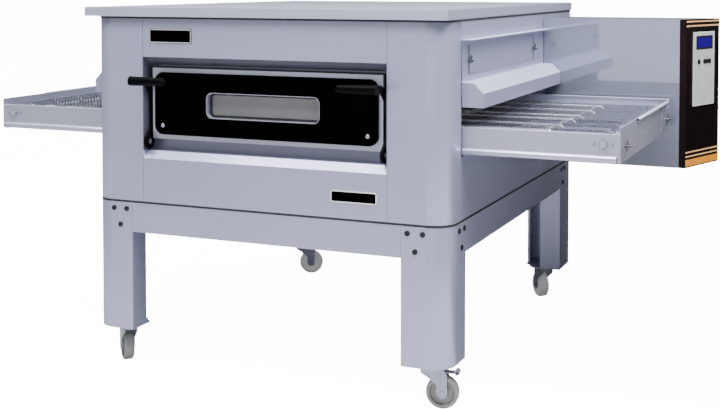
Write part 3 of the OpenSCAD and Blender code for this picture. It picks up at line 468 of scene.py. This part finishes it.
rings = []
marks = []
for s in KEY_S:
    rings.append(frame_data(circle(s, KEY_Z, 9.9), circle(s, KEY_Z, 9.1), face_place, 3.8, 4.2))
    marks.append(face_box(s - 3, s + 3, 1003, 1004.6, 3.9, 4.15))
    marks.append(face_box(s - 3, s + 3, 966, 967.6, 3.9, 4.15))
piece("key_rings", *merge(rings), MATS["black_plastic"], "oven", "black_plastic")
piece("keypad_marks", *merge(marks), MATS["black_plastic"], "oven", "panel_grey")

# ---------- blank badge and name plate borders ----------

PLATE_FACE = -2.3                # front of both plates
outer = rounded_rect(-395.5, -242.5, 1077.5, 1119.5, 3)
inner = rounded_rect(-393.8, -244.2, 1079.2, 1117.8, 2)
piece("badge_border", *frame_data(outer, inner, front_place, PLATE_FACE, -1.8), WHITE, "oven", "black_enamel")
outer = rounded_rect(241.7, 392.3, 609.7, 646.3, 5.3)
inner = rounded_rect(245.2, 388.8, 613.2, 642.8, 2.5)
piece("name_plate_border", *frame_data(outer, inner, front_place, PLATE_FACE, -0.05), WHITE,
      "oven", "black_enamel")

# ---------- seals at the body's joints ----------

HALF_WIDTH = 617.5
DEPTH = 1495
CORNER_R = 70                    # plan radius of the front corners


def plan_outline(inset, r_front, n=10):
    """Outline of the body seen from above, with rounded front corners, as points in body coordinates."""
    x, y0, y1 = HALF_WIDTH - inset, inset, DEPTH - inset
    pts = []
    for cx, a0 in ((-x + r_front, 180), (x - r_front, 270)):
        for i in range(n + 1):
            a = math.radians(a0 + 90 * i / n)
            pts.append((cx + r_front * math.cos(a), y0 + r_front + r_front * math.sin(a)))
    return pts + [(x, y1), (-x, y1)]


def plan_ring(inset, width, z0, z1):
    """Ring that follows the body's outline between two heights."""
    far = inset + width
    return frame_data(plan_outline(inset, CORNER_R - inset), plan_outline(far, CORNER_R - far), P, z0, z1)


def seal(name, data, body="oven"):
    """Black sealing piece."""
    piece(name, *data, MATS["seal_black"], body, "seal_black")


PANEL_JOINT_X = 424              # joints between the front panels and the corner posts
seal("seam_strip", plan_ring(-0.8, 7, 557.15, 559.85))
seal("seam_lip", plan_ring(-0.9, 0.85, 555.3, 561.7))
# Black seal under the cover's lip, which also stands in for the shadow line under the overhang (painted
# shade).
seal("cover_shadow_seal", plan_ring(-1.6, 1.5, BODY_TOP - 6.5, BODY_TOP - 0.2))
seal("joint_strips", merge([box_data((x - 9, 14.2, z0), (x + 9, 15.0, z1))
                            for x in (-PANEL_JOINT_X, PANEL_JOINT_X)
                            for z0, z1 in ((562, 701), (1033, BODY_TOP - 3))]))

# ---------- door: screw heads with cross slots in painted shade, edge seal with painted shadow ---

SCREW_X = (-357, 357)
SCREW_Z = 810.5


def dome_data(x, z, y, r, h, n=24, rings=5):
    """Low dome facing the front, its rim at y."""
    v = []
    for i in range(rings):
        a = math.pi / 2 * i / rings
        v += [P(x + r * math.cos(a) * math.cos(t), y - h * math.sin(a), z + r * math.cos(a) * math.sin(t))
              for t in [2 * math.pi * k / n for k in range(n)]]
    v.append(P(x, y - h, z))
    f = [(i * n + k, i * n + (k + 1) % n, (i + 1) * n + (k + 1) % n, (i + 1) * n + k)
         for i in range(rings - 1) for k in range(n)]
    f += [((rings - 1) * n + k, (rings - 1) * n + (k + 1) % n, rings * n) for k in range(n)]
    f.append(tuple(range(n))[::-1])
    return v, f


heads = [dome_data(x, SCREW_Z, 12.0, 6.4, 1.6) for x in SCREW_X]
piece("door_screws", *merge(heads), MATS["conveyor_steel"], "door", "conveyor_steel", smooth=True)
# Black crosses on the screw heads stand in for their slots; the black is painted shade in the recesses.
slots = [box_data((x - 3.4, 10.2, SCREW_Z - 0.5), (x + 3.4, 10.6, SCREW_Z + 0.5)) for x in SCREW_X]
slots += [box_data((x - 0.5, 10.2, SCREW_Z - 3.4), (x + 0.5, 10.6, SCREW_Z + 3.4)) for x in SCREW_X]
piece("door_screw_slot_shadows", *merge(slots), MATS["black_plastic"], "door", "black_plastic")
# Black seal strips in the gap round the door's top and sides, which also stand in for the shadow in that gap
# (painted shade).
strips = [box_data((-405.6, 27, 995.2), (405.6, 44, 998.4))]
strips += [box_data((x0, 27, 882), (x0 + 3, 44, 995.2)) for x0 in (-405.2, 402.2)]
seal("door_gap_shadow_seal", merge(strips), "door")

# ---------- black liners and rims of the hood slots: painted shade in the slots ---

HOOD_X = 618.5                   # inner face of the hood's flat plate
HOOD_FACE = HOOD_X + 2.05
STUD_Y = (171, 912)
SLOT_Z0, SLOT_Z1 = 994, 1082


def slot_outline(y, grow):
    """Slot outline round a stud's line, grown by a margin."""
    half = 2.9 + grow
    return rounded_rect(y - half, y + half, SLOT_Z0 - grow, SLOT_Z1 + grow, half - 0.02)


for side, hand in ((1, "right"), (-1, "left")):
    def side_place(u, w, d):
        """Frame placed on the hood's plate at this side."""
        return P(side * d, u, w)

    # Black liners on the slot walls and black rims round their mouths are painted shade, standing in for the
    # dark gap behind the slots.
    rims = []
    for y in STUD_Y:
        mouth = slot_outline(y, 0)
        rims.append(frame_data(mouth, slot_outline(y, -0.3), side_place, HOOD_X, HOOD_FACE))
        rims.append(frame_data(slot_outline(y, 1), mouth, side_place, HOOD_FACE - 0.1, HOOD_FACE + 0.03))
    piece("hood_slot_edges_" + hand, *merge(rims), MATS["black_plastic"], "hood_" + hand + "_body",
          "black_plastic")


# ---------- floor, lights and camera ----------

CAMERA_GLOW = 15.0               # the studio is burnt out to white for the camera alone


def seen_glow(nt, base):
    """Strength that is high for camera rays and otherwise has a base value, a number or a socket."""
    path = nt.nodes.new("ShaderNodeLightPath")
    glow = nt.nodes.new("ShaderNodeMath")
    glow.operation = "MULTIPLY_ADD"
    glow.inputs[1].default_value = CAMERA_GLOW
    nt.links.new(path.outputs["Is Camera Ray"], glow.inputs[0])
    if isinstance(base, float):
        glow.inputs[2].default_value = base
    else:
        nt.links.new(base, glow.inputs[2])
    return glow.outputs[0]


floor_mat, nt, b = new_material("studio floor")
n = noise(nt, 0.8, 3)
nt.links.new(two_tone(nt, n, (0.80, 0.80, 0.80), (0.83, 0.83, 0.83)), b.inputs["Base Color"])
b.inputs["Roughness"].default_value = 0.9
b.inputs["Specular IOR Level"].default_value = 0.1
b.inputs["Emission Color"].default_value = (1, 1, 1, 1)
nt.links.new(seen_glow(nt, 0.05), b.inputs["Emission Strength"])


def stage_quad(name, corners, mat, seen=True):
    """Flat piece of the studio, which is not part of the oven."""
    me = bpy.data.meshes.new(name)
    me.from_pydata(corners, [], [(0, 1, 2, 3)])
    me.materials.append(mat)
    o = bpy.data.objects.new(name, me)
    o.visible_camera = seen
    bpy.context.scene.collection.objects.link(o)


HALF = 60.0                      # half the side of the studio floor
stage_quad("floor", [(-HALF, -HALF, -0.0005), (HALF, -HALF, -0.0005), (HALF, HALF, -0.0005),
                     (-HALF, HALF, -0.0005)], floor_mat)
card_mat, nt, b = new_material("dark card")
n = noise(nt, 2.0, 3)
nt.links.new(two_tone(nt, n, (0.03, 0.03, 0.03), (0.04, 0.04, 0.04)), b.inputs["Base Color"])
b.inputs["Roughness"].default_value = 1.0
# Dark cards, unseen by the camera, that shade the right-hand side and show in its reflections
stage_quad("card_floor", [(-0.75, -0.45, 0.002), (4.0, -0.1, 0.002), (4.0, 5.0, 0.002), (-0.75, 5.0, 0.002)],
           card_mat, False)
stage_quad("card_right", [(3.2, 0.2, 0.0), (3.2, 5.0, 0.0), (3.2, 5.0, 1.1), (3.2, 0.2, 1.1)],
           card_mat, False)

world = bpy.data.worlds.new("studio")
bpy.context.scene.world = world
world.use_nodes = True
wn = world.node_tree
wn.nodes.clear()
wo = wn.nodes.new("ShaderNodeOutputWorld")
bg = wn.nodes.new("ShaderNodeBackground")
wc = wn.nodes.new("ShaderNodeTexCoord")
ws = wn.nodes.new("ShaderNodeSeparateXYZ")
wn.links.new(wc.outputs["Generated"], ws.inputs[0])
bg.inputs[0].default_value = (0.97, 0.98, 1.0, 1)
sky = map_range(wn, ws.outputs["Z"], 0.0, 0.9, 0.46, 0.50)
wn.links.new(seen_glow(wn, sky), bg.inputs[1])
wn.links.new(bg.outputs[0], wo.inputs[0])


def area_light(name, place, target, size, size_y, power):
    """Soft light at a place, turned towards a target."""
    d = bpy.data.lights.new(name, "AREA")
    d.shape = "RECTANGLE"
    d.size = size
    d.size_y = size_y
    d.energy = power
    d.color = (0.985, 0.99, 1)
    o = bpy.data.objects.new(name, d)
    bpy.context.scene.collection.objects.link(o)
    o.location = place
    o.rotation_euler = (Vector(target) - Vector(place)).to_track_quat("-Z", "Y").to_euler()


area_light("overhead", (0.1, -1.6, 3.6), (0.1, -0.1, 0.8), 4.2, 1.6, 265)
area_light("front", (-0.6, -7.5, 1.4), (0, 0, 0.5), 8.0, 2.4, 60)
area_light("right", (2.4, -0.6, 3.6), (0.8, 0.2, 0.9), 1.5, 1.3, 175)

CAMERA_PLACE = P(1720.2, -3217.0, 1265.1)
LOOK_DOWN = 2.149                # degrees below the horizon
TURN = 23.253                    # degrees to the left

cam = bpy.data.cameras.new("camera")
cam.lens = 59.15
cam.sensor_width = 36.0
cam.shift_y = -0.2449            # keeps the oven's upright edges nearly parallel
cam.clip_end = 200
co = bpy.data.objects.new("camera", cam)
bpy.context.scene.collection.objects.link(co)
co.location = CAMERA_PLACE
co.rotation_euler = (math.radians(90 - LOOK_DOWN), 0, math.radians(TURN))
bpy.context.scene.camera = co
